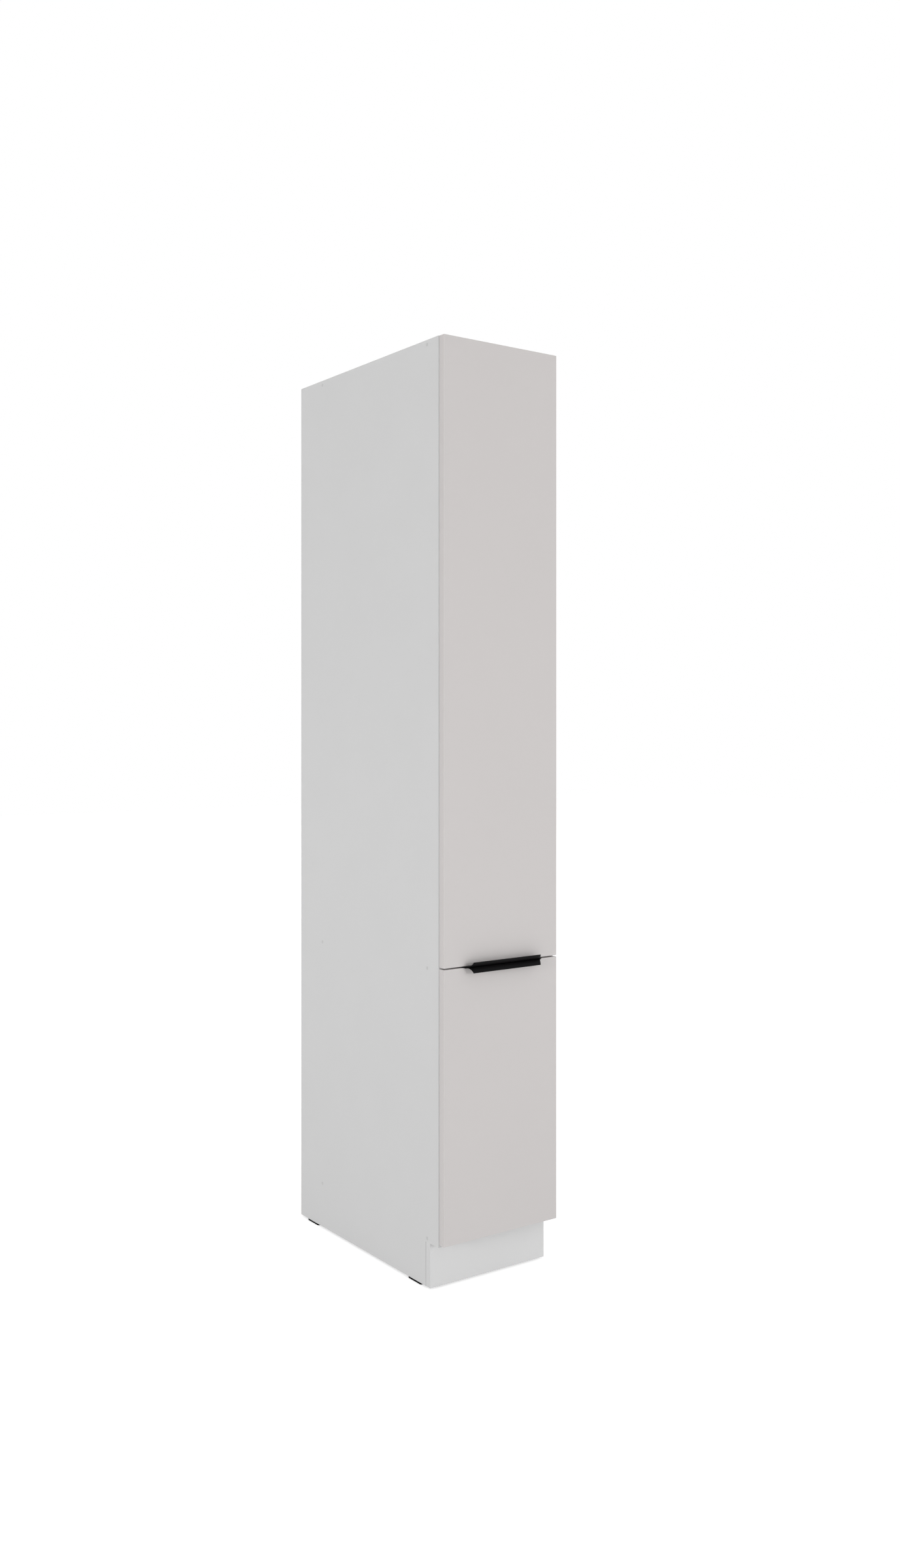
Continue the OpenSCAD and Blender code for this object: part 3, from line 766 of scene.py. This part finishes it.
black_plastic = paint("black_plastic", (0.004, 0.004, 0.004), (0.006, 0.006, 0.006), (0.4, 0.6), 0.0008,
                      0.00002, Specular_IOR_Level=0.02)
glide_low, glide_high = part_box("glides")
glide = block("glide", glide_low, (glide_low.x + GLIDE_WIDE, glide_low.y + GLIDE_LONG, GLIDE_HIGH))
round_off(glide, along(2), 3 * MM, 5)
finish(glide, 0.4 * MM)
pin = rod("pin", (glide_low.x + GLIDE_WIDE / 2, glide_low.y + GLIDE_LONG / 2, GLIDE_HIGH), (0, 0, 1),
          glide_high.z - GLIDE_HIGH, PIN_D, 16)
finish(pin, 0.6 * MM)
aside = glide_high.x - GLIDE_WIDE - glide_low.x
behind = glide_high.y - GLIDE_LONG - glide_low.y
four = copies(join([glide, pin]), [(x, y, 0) for x in (0, aside) for y in (0, behind)])
settle_set("side_glides", [four], black_plastic, "carcass", "glide_plastic", "glides")

# %% [markdown]
# A grey plastic cap covers each carcass screw. It is a disc with a softly rounded rim and a small
# dimple from the mould, pressed flush into its recess. The screws behind the caps and the beech dowels
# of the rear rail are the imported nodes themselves, in better materials.

# %% Screw caps, screws and dowels
DIMPLE_IN = 2.2 * MM
DIMPLE_WALL = 0.2 * MM
DIMPLE_DEEP = 0.15 * MM

cap_plastic = paint("cap_plastic", (0.53, 0.53, 0.53), (0.51, 0.51, 0.51), (0.35, 0.45), 0.0006, 0.00001)
zinc = paint("zinc_plate", (0.58, 0.59, 0.6), (0.5, 0.51, 0.53), (0.28, 0.4), 0.0015, 0.00001,
             drift_size=0.02, Metallic=1.0)
beech = paint("beech", (0.6, 0.42, 0.25), (0.5, 0.33, 0.19), (0.6, 0.75), 0.0007, 0.00005,
              drift_size=0.004)

every_cap = []
for out in (-1, 1):
    disc = rod("cap", (out * abs(side_low.x), cap_ys[0], cap_zs[0]), (-out, 0, 0), cap_deep, CAP_D)
    inset(disc, facing(0, out), DIMPLE_IN)
    inset(disc, facing(0, out, z=cap_zs[0]), DIMPLE_WALL, -DIMPLE_DEEP)
    finish(disc, 0.25 * MM)
    every_cap.append(copies(disc, [(0, y - cap_ys[0], z - cap_zs[0]) for y in cap_ys for z in cap_zs]))
settle_set("side_caps", every_cap, cap_plastic, "carcass", "cap_plastic", "screw_caps")

for node, material in (("carcass_screws", zinc), ("runner_screws", zinc), ("rail_dowels", beech)):
    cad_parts[node].material_slots[0].material = material
    print(f"{node}: {material.name}")

# %% [markdown]
# The fronts are board in a warm pale grey satin lacquer. Sprayed lacquer never dries quite flat: it
# keeps a very slight orange peel a couple of millimetres across. Its edges are sanded to a soft round
# before spraying, larger than on the melamine boards. The side edges get a darker copy of the lacquer:
# painted shade, for the shade that falls on them beside the carcass.

# %% Fronts
FRONT_ROUND = 0.4 * MM


def lacquer(name, colour):
    """Sprayed lacquer, with a drift of tone that the eye hardly sees."""
    return paint(name, colour, shaded(colour, 0.99), (0.36, 0.44), 0.002, 0.000012, drift_size=0.3,
                 Specular_IOR_Level=0.4)


front_lacquer = lacquer("front_lacquer", (0.598, 0.572, 0.565))
# A darker copy of the lacquer for the side edges: painted shade, not a different finish.
edge_lacquer_painted_shade = lacquer("edge_lacquer_painted_shade", (0.567, 0.541, 0.534))
for level in ("upper", "lower"):
    node = "front_" + level
    low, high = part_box(node)
    panel = block(node + "_panel", low, high)
    round_off(panel, lambda middle, line: middle.y < high.y - MM, FRONT_ROUND, 4)
    smooth(panel)
    cover(panel, front_lacquer, edge_lacquer_painted_shade)
    # The side edges take the painted shade.
    cover_part(panel, 1, lambda middle, normal: abs(normal.x) > 0.7)
    settle(panel, level + "_pullout", "front_board", node)

# %% [markdown]
# Each handle is bent from one strip of metal: a flat plate in the gap between the fronts, screwed to the
# edge of its front, which runs out a little and then curves to the lip that the fingers pull. The plate
# is a block, and the curve is its front face spun about a line above or below it. The ends are then cut
# on a slant by bisecting, so that the lip is shorter than the root. The coat is matt black powder with a
# fine grain, a little worn along the edges.

# %% Handles
STRIP = 1.2 * MM
FLAT = 7 * MM
CURVE_R = 15 * MM
LIP_LONG = 175.2 * MM
PRESSED_EDGE = 0.3 * MM


def worn_coat(name, colour, bare, grain_size, bump, amount, **constants):
    """Powder coat, with a little of another colour where the edges are worn."""
    material = paint(name, colour, shaded(colour, 0.85), (0.45, 0.62), grain_size, bump, **constants)
    overlay(material, place(material.node_tree, edge_wear, Radius=0.0005, Amount=amount), bare)
    return material


black_coat = worn_coat("black_coat", (0.0065, 0.0062, 0.0066), (0.02, 0.02, 0.021), 0.0006, 0.00003, 0.4,
                       Specular_IOR_Level=0.06)
face_y, back_y = [corner.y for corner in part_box("front_upper")]
for level, up in (("upper", 1), ("lower", -1)):  # up is 1 where the lip curves upwards
    node = "handle_" + level
    low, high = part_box(node)
    root = low.z if up > 0 else high.z
    strip = sorted((root, root + up * STRIP))
    bend_y = face_y - FLAT
    reach = face_y - low.y
    piece = block(node + "_strip", (low.x, bend_y, strip[0]), (high.x, high.y, strip[1]))
    choose(piece, "FACE", facing(1, -1))
    bpy.ops.mesh.spin(steps=16, angle=up * math.asin((reach - FLAT) / CURVE_R), axis=(1, 0, 0),
                      center=(0, bend_y, root + up * CURVE_R))
    mend(piece)
    slant = (high.x - low.x - LIP_LONG) / 2
    for side, root_x in ((-1, low.x), (1, high.x)):
        split(piece, (root_x, face_y, 0), (side * reach, -slant, 0), clear_outer=True, use_fill=True)
    finish(piece, PRESSED_EDGE, black_coat)
    settle(piece, level + "_pullout", "handle_metal", node)

# %% [markdown]
# Screw heads show on the handles' plates and on the brackets behind the fronts. One is modelled: a
# domed head with a hexagon socket cut into it, on its shank. A thread could be added, but the wood
# hides it.

# %% Screws
HEAD_RIM = 0.22     # these two are shares of the head's width
SOCKET_WIDE = 0.5
HEAD_CROWN = 0.45   # and these two of its height
SOCKET_DEEP = 0.6
HANDLE_SCREW = (6 * MM, MM, 3 * MM, 20 * MM)
HANDLE_SCREW_XS = (-80 * MM, 0, 80 * MM)
HANDLE_SCREW_Y = face_y + 8 * MM
HEAD_PROUD = 0.1 * MM


def screw(start, way, sizes):
    """A screw that starts at its head's outer face. Sizes: the head across, its height, shank, length."""
    head_d, head_h, shank_d, length = sizes
    start = Vector(start)
    way = Vector(way)
    outer = -way
    head = rod("screw", start, way, head_h, head_d, 24)

    def on_top(middle, normal):
        return normal.dot(outer) > 0.9 and (middle - start).dot(outer) > -0.01 * MM

    def on_rim(middle, line):
        return near((middle - start).dot(outer), 0) and (middle - start).length > head_d * 0.45

    inset(head, on_top, head_d * HEAD_RIM)
    round_off(head, on_rim, head_h * HEAD_CROWN, 3)
    socket = rod("socket", start + outer * PAST, way, PAST + head_h * SOCKET_DEEP, head_d * SOCKET_WIDE, 6)
    cut(head, [socket])
    smooth(head)
    shank = rod("shank", start + way * head_h, way, length - head_h, shank_d, 12)
    smooth(shank)
    return join([head, shank])


for level, up in (("upper", 1), ("lower", -1)):
    node = level + "_handle_screws"
    low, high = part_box(node)
    head_z = (low.z if up > 0 else high.z) - up * HEAD_PROUD
    first = screw((HANDLE_SCREW_XS[0], HANDLE_SCREW_Y, head_z), (0, 0, up), HANDLE_SCREW)
    three = copies(first, [(x - HANDLE_SCREW_XS[0], 0, 0) for x in HANDLE_SCREW_XS])
    settle_set(node + "_set", [three], black_coat, level + "_pullout", "handle_metal", node)

# %% [markdown]
# The frames are steel tube. Real tube is rolled, so its long edges are rounds of a few millimetres and
# its wall shows at the cut ends. A block gets its long edges bevelled, loses both end faces, and
# Solidify then gives it its wall on the inside. The coat is a mid-grey powder.

# %% Tubes of the frames
TUBE_ROUND = 3 * MM
SHEET = 1.5 * MM
SHEET_EDGE = 0.2 * MM
TUBES = (("upper_beam_bottom", 1), ("upper_beam_top", 1), ("upper_post_front", 2),
         ("upper_post_rear", 2), ("lower_post_front", 2), ("lower_post_rear", 2))

frame_coat = worn_coat("frame_coat", (0.25, 0.26, 0.27), (0.42, 0.42, 0.42), 0.0007, 0.00005, 0.35)
dusty(frame_coat, 0.25)
for node, axis in TUBES:
    low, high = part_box(node)
    piece = block(node + "_tube", low, high)
    round_off(piece, along(axis), TUBE_ROUND, 4)
    remove(piece, lambda middle, normal: abs(normal[axis]) > 0.9)
    thicken(piece, SHEET)
    finish(piece, SHEET_EDGE, frame_coat)
    settle(piece, node.split("_")[0] + "_pullout", "frame_metal", node)

# %% [markdown]
# Open tube ends are closed with black plastic plugs, which keep fingers off the cut steel. A plug is a
# thin rounded plate that bears on the end of the tube.

# %% Plugs in the tube ends
PLUG_THICK = 1.2 * MM


def plug(node, axis, end):
    """A plate on a tube's low end (0) or high end (1), with rounded corners and a soft rim."""
    low, high = [Vector(corner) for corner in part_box(node)]
    edge = (low, high)[end][axis]
    low[axis] = edge - PLUG_THICK * (1 - end)
    high[axis] = edge + PLUG_THICK * end
    piece = block("plug", low, high)
    round_off(piece, along(axis), TUBE_ROUND, 4)
    return finish(piece, 0.35 * MM)


plugs = [plug(node, 1, end) for node in ("upper_beam_bottom", "upper_beam_top") for end in (0, 1)]
settle_set("upper_tube_plugs", plugs, black_plastic, "upper_pullout", "glide_plastic")
plugs = [plug(node, 2, 1) for node in ("lower_post_front", "lower_post_rear")]
settle_set("lower_tube_plugs", plugs, black_plastic, "lower_pullout", "glide_plastic")

# %% [markdown]
# The lower frame stands on a deck of bent sheet, with both sides turned up to meet the slides. It is a
# block without its top and ends, bent to a round along its two lower edges.

# %% The lower deck
DECK_ROUND = 3 * MM


def open_trough(piece):
    """Takes a block's top and both its ends off."""
    remove(piece, lambda middle, normal: normal.z > 0.9 or abs(normal.y) > 0.9)


deck_low, deck_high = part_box("lower_deck")
deck = block("lower_deck_sheet", deck_low, deck_high)
round_off(deck, along(1, z=deck_low.z), DECK_ROUND, 4)
open_trough(deck)
thicken(deck, SHEET)
finish(deck, SHEET_EDGE, frame_coat)
settle(deck, "lower_pullout", "frame_metal", "lower_deck")

# %% [markdown]
# A runner is three nested members. The fixed one and the middle one are channels of zinc-plated strip
# with turned-in lips, and the innermost one is a rail with a foot that the lips hold. Each is modelled
# lying open side up and then turned to its place. The zinc is bright, with fine lines along the strip.

# %% Members of a runner
STEEL = 1.5 * MM
PLAY = 0.5 * MM
NEST = STEEL + PLAY
LIP = 6 * MM
BEND = 1.8 * MM
RUNNER_WIDE = 45 * MM
STEM = RUNNER_WIDE - 2 * (STEEL + LIP) - 2 * NEST - 2 * MM

runner_zinc = paint("runner_zinc", (0.56, 0.57, 0.58), (0.5, 0.51, 0.525), (0.3, 0.42), 0.002, 0.00001,
                    drift_size=0.03, Metallic=1.0)
emboss(runner_zinc, place(runner_zinc.node_tree, lines, Size=0.0005), 0.00003)


def channel(name, width, low_z, high_z, start, end):
    """A lipped channel along Y, open at the top."""
    half = width / 2
    piece = block(name, (-half, start, low_z), (half, end, high_z))
    open_trough(piece)
    for side in (-1, 1):
        pull(piece, along(1, x=side * half, z=high_z), (-side * (STEEL + LIP), 0, 0), "EDGE")
    mend(piece)
    round_off(piece, lambda middle, line: abs(line.y) > 0.99 and near(abs(middle.x), half), BEND, 3)
    thicken(piece, STEEL)
    return piece


def rail(name, foot, heights, start, end):
    """The innermost member: a foot, and a narrower stem that stands on it."""
    low_z, foot_z, high_z = heights
    piece = block(name, (-foot / 2, start, low_z), (foot / 2, end, foot_z))
    for side in (-1, 1):
        split(piece, (side * STEM / 2, 0, 0), (1, 0, 0))
    pull(piece, lambda middle, normal: normal.z > 0.9 and abs(middle.x) < STEM / 2,
         (0, 0, high_z - foot_z))
    return piece


print("runners: nested", NEST / MM, "mm apart, with a stem of", round(STEM / MM, 1), "mm")

# %% [markdown]
# The upper pull-out runs on one runner on the shelf and is guided by another under the top panel. The
# lower one has a slide on each side. All four are the same three members at other heights and turns,
# so one table gives them.

# %% Runners
shelf_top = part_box("mid_shelf")[1].z
lid_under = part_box("top_panel")[0].z
slide_low, slide_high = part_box("lower_slide_base_left")
slide_mid = (slide_low.z + slide_high.z) / 2
inside_x = abs(slide_low.x)
# each: its nodes, the channel's height, the stem's lift above it, the turn, x, z, and what it moves
RUNNERS = (
    ("upper_runner_{}", 18 * MM, 6 * MM, 0, 0, shelf_top, "upper_pullout"),
    ("upper_guide_{}", 14 * MM, 6 * MM, math.pi, 0, lid_under, "upper_pullout"),
    ("lower_slide_{}_left", 12 * MM, 2 * MM, math.pi / 2, -inside_x, slide_mid, "lower_pullout"),
    ("lower_slide_{}_right", 12 * MM, 2 * MM, -math.pi / 2, inside_x, slide_mid, "lower_pullout"),
)
for label, tall, lift, angle, x, z, moving in RUNNERS:
    fixed_node, middle_node, inner_node = [label.format(part) for part in ("base", "mid", "top")]
    start, end = [corner.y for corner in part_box(fixed_node)]
    fixed = channel(fixed_node + "_channel", RUNNER_WIDE, 0, tall, start, end)
    middle = channel(middle_node + "_channel", RUNNER_WIDE - 2 * NEST, NEST, tall - NEST, start, end)
    inner = rail(inner_node + "_rail", RUNNER_WIDE - 4 * NEST,
                 (2 * NEST, tall - 2 * NEST, tall + lift), start, end)
    for member, node, body in ((fixed, fixed_node, "carcass"), (middle, middle_node, middle_node),
                               (inner, inner_node, moving)):
        take(member)
        member.rotation_euler = (0, angle, 0)
        member.location = (x, 0, z)
        apply_place()
        finish(member, 0.25 * MM, runner_zinc)
        settle(member, body, "runner_steel", node)

# %% [markdown]
# Pressed brackets tie each front to its frame. Each is an angle of 2 mm steel, with its free corners
# rounded, screwed to the back of the front and welded to the side of the post. It is a plate with one
# strip pulled out at a right angle. A left and a right one are modelled and copied up the post.

# %% Brackets and their screws
PLATE = 2 * MM
BRACKET_TALL = 40 * MM
BRACKET_ROUND = 5 * MM
BRACKET_SCREW_XS = (30 * MM, 48 * MM)
FRONT_SCREW = (7 * MM, 2 * MM, 4 * MM, 14 * MM)


def bracket(low, high, side):
    """One bracket: its plate lies on the front's back, and its arm on the post's side."""
    near_post, far = (low.x, high.x) if side > 0 else (high.x, low.x)
    bend = near_post + side * PLATE
    piece = block("bracket", low, (high.x, low.y + PLATE, high.z))
    split(piece, (bend, 0, 0), (1, 0, 0))
    round_off(piece, along(1, x=far), BRACKET_ROUND, 5)
    pull(piece, lambda middle, normal: normal.y > 0.9 and abs(middle.x) < abs(bend),
         (0, high.y - low.y - PLATE, 0))
    round_off(piece, along(0, y=high.y), BRACKET_ROUND, 5)
    return finish(piece, PRESSED_EDGE)


for level, count in (("upper", 4), ("lower", 2)):
    body = level + "_pullout"
    low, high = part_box(level + "_brackets")
    post_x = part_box(level + "_post_front")[1].x
    step = (high.z - low.z - BRACKET_TALL) / (count - 1)
    angles = []
    screws = []
    for side in (-1, 1):
        xs = sorted((side * post_x, side * high.x))
        first = bracket(Vector((xs[0], low.y, low.z)),
                        Vector((xs[1], high.y, low.z + BRACKET_TALL)), side)
        angles.append(copies(first, [(0, 0, step * k) for k in range(count)]))
        first = screw((side * BRACKET_SCREW_XS[0], back_y + PLATE + FRONT_SCREW[1],
                       low.z + BRACKET_TALL / 2), (0, -1, 0), FRONT_SCREW)
        apart = side * (BRACKET_SCREW_XS[1] - BRACKET_SCREW_XS[0])
        screws.append(copies(first, [(x, 0, step * k) for x in (0, apart) for k in range(count)]))
    settle_set(level + "_bracket_set", angles, frame_coat, body, "frame_metal", level + "_brackets")
    settle_set(level + "_front_screw_set", screws, zinc, body, "screw_steel", level + "_front_screws")

# %% [markdown]
# A tray is a 12 mm board with wide rounded corners and a banded edge. A ribbed mat lies on it, so that
# jars don't slide. The corners are the block's four upright edges bevelled to 20 mm. The mat is thinner
# and a little smaller, and its ribs are a bump, since they are under half a millimetre high.

# %% Trays and mats
TRAY_ROUND = 20 * MM
TRAY_EDGE = 0.8 * MM
MAT_THICK = 1.2 * MM
MAT_INSET = 9 * MM
MAT_EDGE = 0.4 * MM
RIB_SCALE = 80.0
TRAYS = (("upper", 1), ("upper", 2), ("upper", 3), ("upper", 4), ("lower", 1), ("lower", 2))

edge_band = paint("edge_band", (0.6, 0.6, 0.6), (0.58, 0.58, 0.58), (0.34, 0.42), 0.0008, 0.00001)
mat_rubber = paint("mat_rubber", (0.3, 0.305, 0.31), (0.28, 0.285, 0.29), (0.6, 0.75), 0.0006, 0.00003)
tree = mat_rubber.node_tree
ribs = add(tree, "TexWave", {"Vector": metres(tree), "Scale": RIB_SCALE}, bands_direction="X")
emboss(mat_rubber, ribs.outputs["Fac"], 0.0004)

for level, number in TRAYS:
    node = f"{level}_tray_{number}"
    low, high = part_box(node)
    tray = block(node + "_board", low, high)
    round_off(tray, along(2), TRAY_ROUND, 8)
    finish(tray, TRAY_EDGE, tray_melamine, edge_band)
    cover_part(tray, 1, lambda middle, normal: abs(normal.z) < 0.9)
    settle(tray, level + "_pullout", "tray_board", node)
    mat = block(node + "_mat", (low.x + MAT_INSET, low.y + MAT_INSET, high.z),
                (high.x - MAT_INSET, high.y - MAT_INSET, high.z + MAT_THICK))
    round_off(mat, along(2), TRAY_ROUND - MAT_INSET, 6)
    finish(mat, MAT_EDGE, mat_rubber)
    settle(mat, level + "_pullout", None)

# %% [markdown]
# Chromed rails run round each tray: two bands of flat strip, bent to the tray's corners, on turned
# studs. A band is a block without its top and bottom, with its upright edges rounded and then given
# its thickness. A stud has a collar at its foot, which is the face of the cylinder inset and pulled.

# %% Rails round the trays
BAND_THICK = 2.5 * MM
BAND_HIGH = 8 * MM
BAND_EDGE = 0.6 * MM
RAIL_INSET = 4 * MM
STUD_D = 5 * MM
STUD_EDGE = 0.7 * MM
STUD_UNDER = 3 * MM
FOOT_HIGH = 2.5 * MM
FOOT_OUT = 1.5 * MM
# where the studs stand, as shares of half a tray's length and half its width
SIDE_STUDS = (-0.8, -0.27, 0.27, 0.8)
END_STUDS = (-0.55, 0.55)

chrome = paint("chrome", (0.62, 0.63, 0.65), (0.59, 0.6, 0.62), (0.06, 0.12), 0.003, 0.000002,
               drift_size=0.05, Metallic=1.0)


def band(low, high, z):
    """A closed loop of strip that stands on edge."""
    loop = block("band", (low.x + RAIL_INSET, low.y + RAIL_INSET, z),
                 (high.x - RAIL_INSET, high.y - RAIL_INSET, z + BAND_HIGH))
    round_off(loop, along(2), TRAY_ROUND - RAIL_INSET, 8)
    remove(loop, lambda middle, normal: abs(normal.z) > 0.9)
    thicken(loop, BAND_THICK)
    return finish(loop, BAND_EDGE)


def stud(x, y, z, tall):
    """A turned stud with a wider foot and a domed top."""
    piece = rod("stud", (x, y, z), (0, 0, 1), FOOT_HIGH, STUD_D + 2 * FOOT_OUT, 20)
    inset(piece, facing(2, 1), FOOT_OUT)
    pull(piece, facing(2, 1, x=x, y=y), (0, 0, tall - FOOT_HIGH))
    return finish(piece, STUD_EDGE)


for level, number in TRAYS:
    node = f"{level}_gallery_{number}"
    low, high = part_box(f"{level}_tray_{number}")
    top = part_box(node)[1].z
    loops = [band(low, high, z) for z in (top - BAND_HIGH, (high.z + top - BAND_HIGH) / 2)]
    centre = (low + high) / 2
    x_out = (high.x - low.x) / 2 - RAIL_INSET - BAND_THICK / 2
    y_out = (high.y - low.y) / 2 - RAIL_INSET - BAND_THICK / 2
    spots = [(s * x_out, part * y_out, 0) for s in (-1, 1) for part in SIDE_STUDS]
    spots += [(part * x_out, s * y_out, 0) for s in (-1, 1) for part in END_STUDS]
    first = stud(centre.x, centre.y, high.z, top - STUD_UNDER - high.z)
    settle_set(node + "_rails", loops + [copies(first, spots)], chrome, level + "_pullout",
               "chrome_rail", node)

# %% [markdown]
# Each tray hangs on two hooks between it and the posts: a short plate with a ledge under the board,
# and a screw up through the ledge. The lowest tray needs none, because it lies on the deck.

# %% Tray hooks
HOOK_WIDE = 50 * MM
LEDGE = 16 * MM
LEDGE_ROUND = 4 * MM
HOOK_SCREW = (7 * MM, 1.5 * MM, 4 * MM, 10 * MM)


def hook(low, high, end):
    """A hook at the front (-1) or rear (1) end of a tray."""
    at = low.y if end < 0 else high.y
    ys = sorted((at, at + end * PLATE))
    piece = block("hook", (-HOOK_WIDE / 2, ys[0], low.z - PLATE), (HOOK_WIDE / 2, ys[1], high.z))
    split(piece, (0, 0, low.z), (0, 0, 1))
    pull(piece, lambda middle, normal: normal.y * end < -0.9 and middle.z < low.z, (0, -end * LEDGE, 0))
    round_off(piece, along(2, y=at - end * LEDGE), LEDGE_ROUND, 4)
    finish(piece, PRESSED_EDGE)
    fixing = screw((0, at - end * LEDGE / 2, low.z - PLATE - HOOK_SCREW[1]), (0, 0, 1), HOOK_SCREW)
    return piece, fixing


for level, numbers in (("upper", (1, 2, 3, 4)), ("lower", (2,))):
    hooks = []
    screws = []
    low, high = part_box(f"{level}_tray_{numbers[0]}")
    rises = [(0, 0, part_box(f"{level}_tray_{n}")[0].z - low.z) for n in numbers]
    for end in (-1, 1):
        one_hook, one_screw = hook(low, high, end)
        hooks.append(copies(one_hook, rises))
        screws.append(copies(one_screw, rises))
    body = level + "_pullout"
    settle_set(level + "_hook_set", hooks, frame_coat, body, "frame_metal", level + "_tray_hooks")
    settle_set(level + "_hook_screws", screws, zinc, body, "screw_steel")
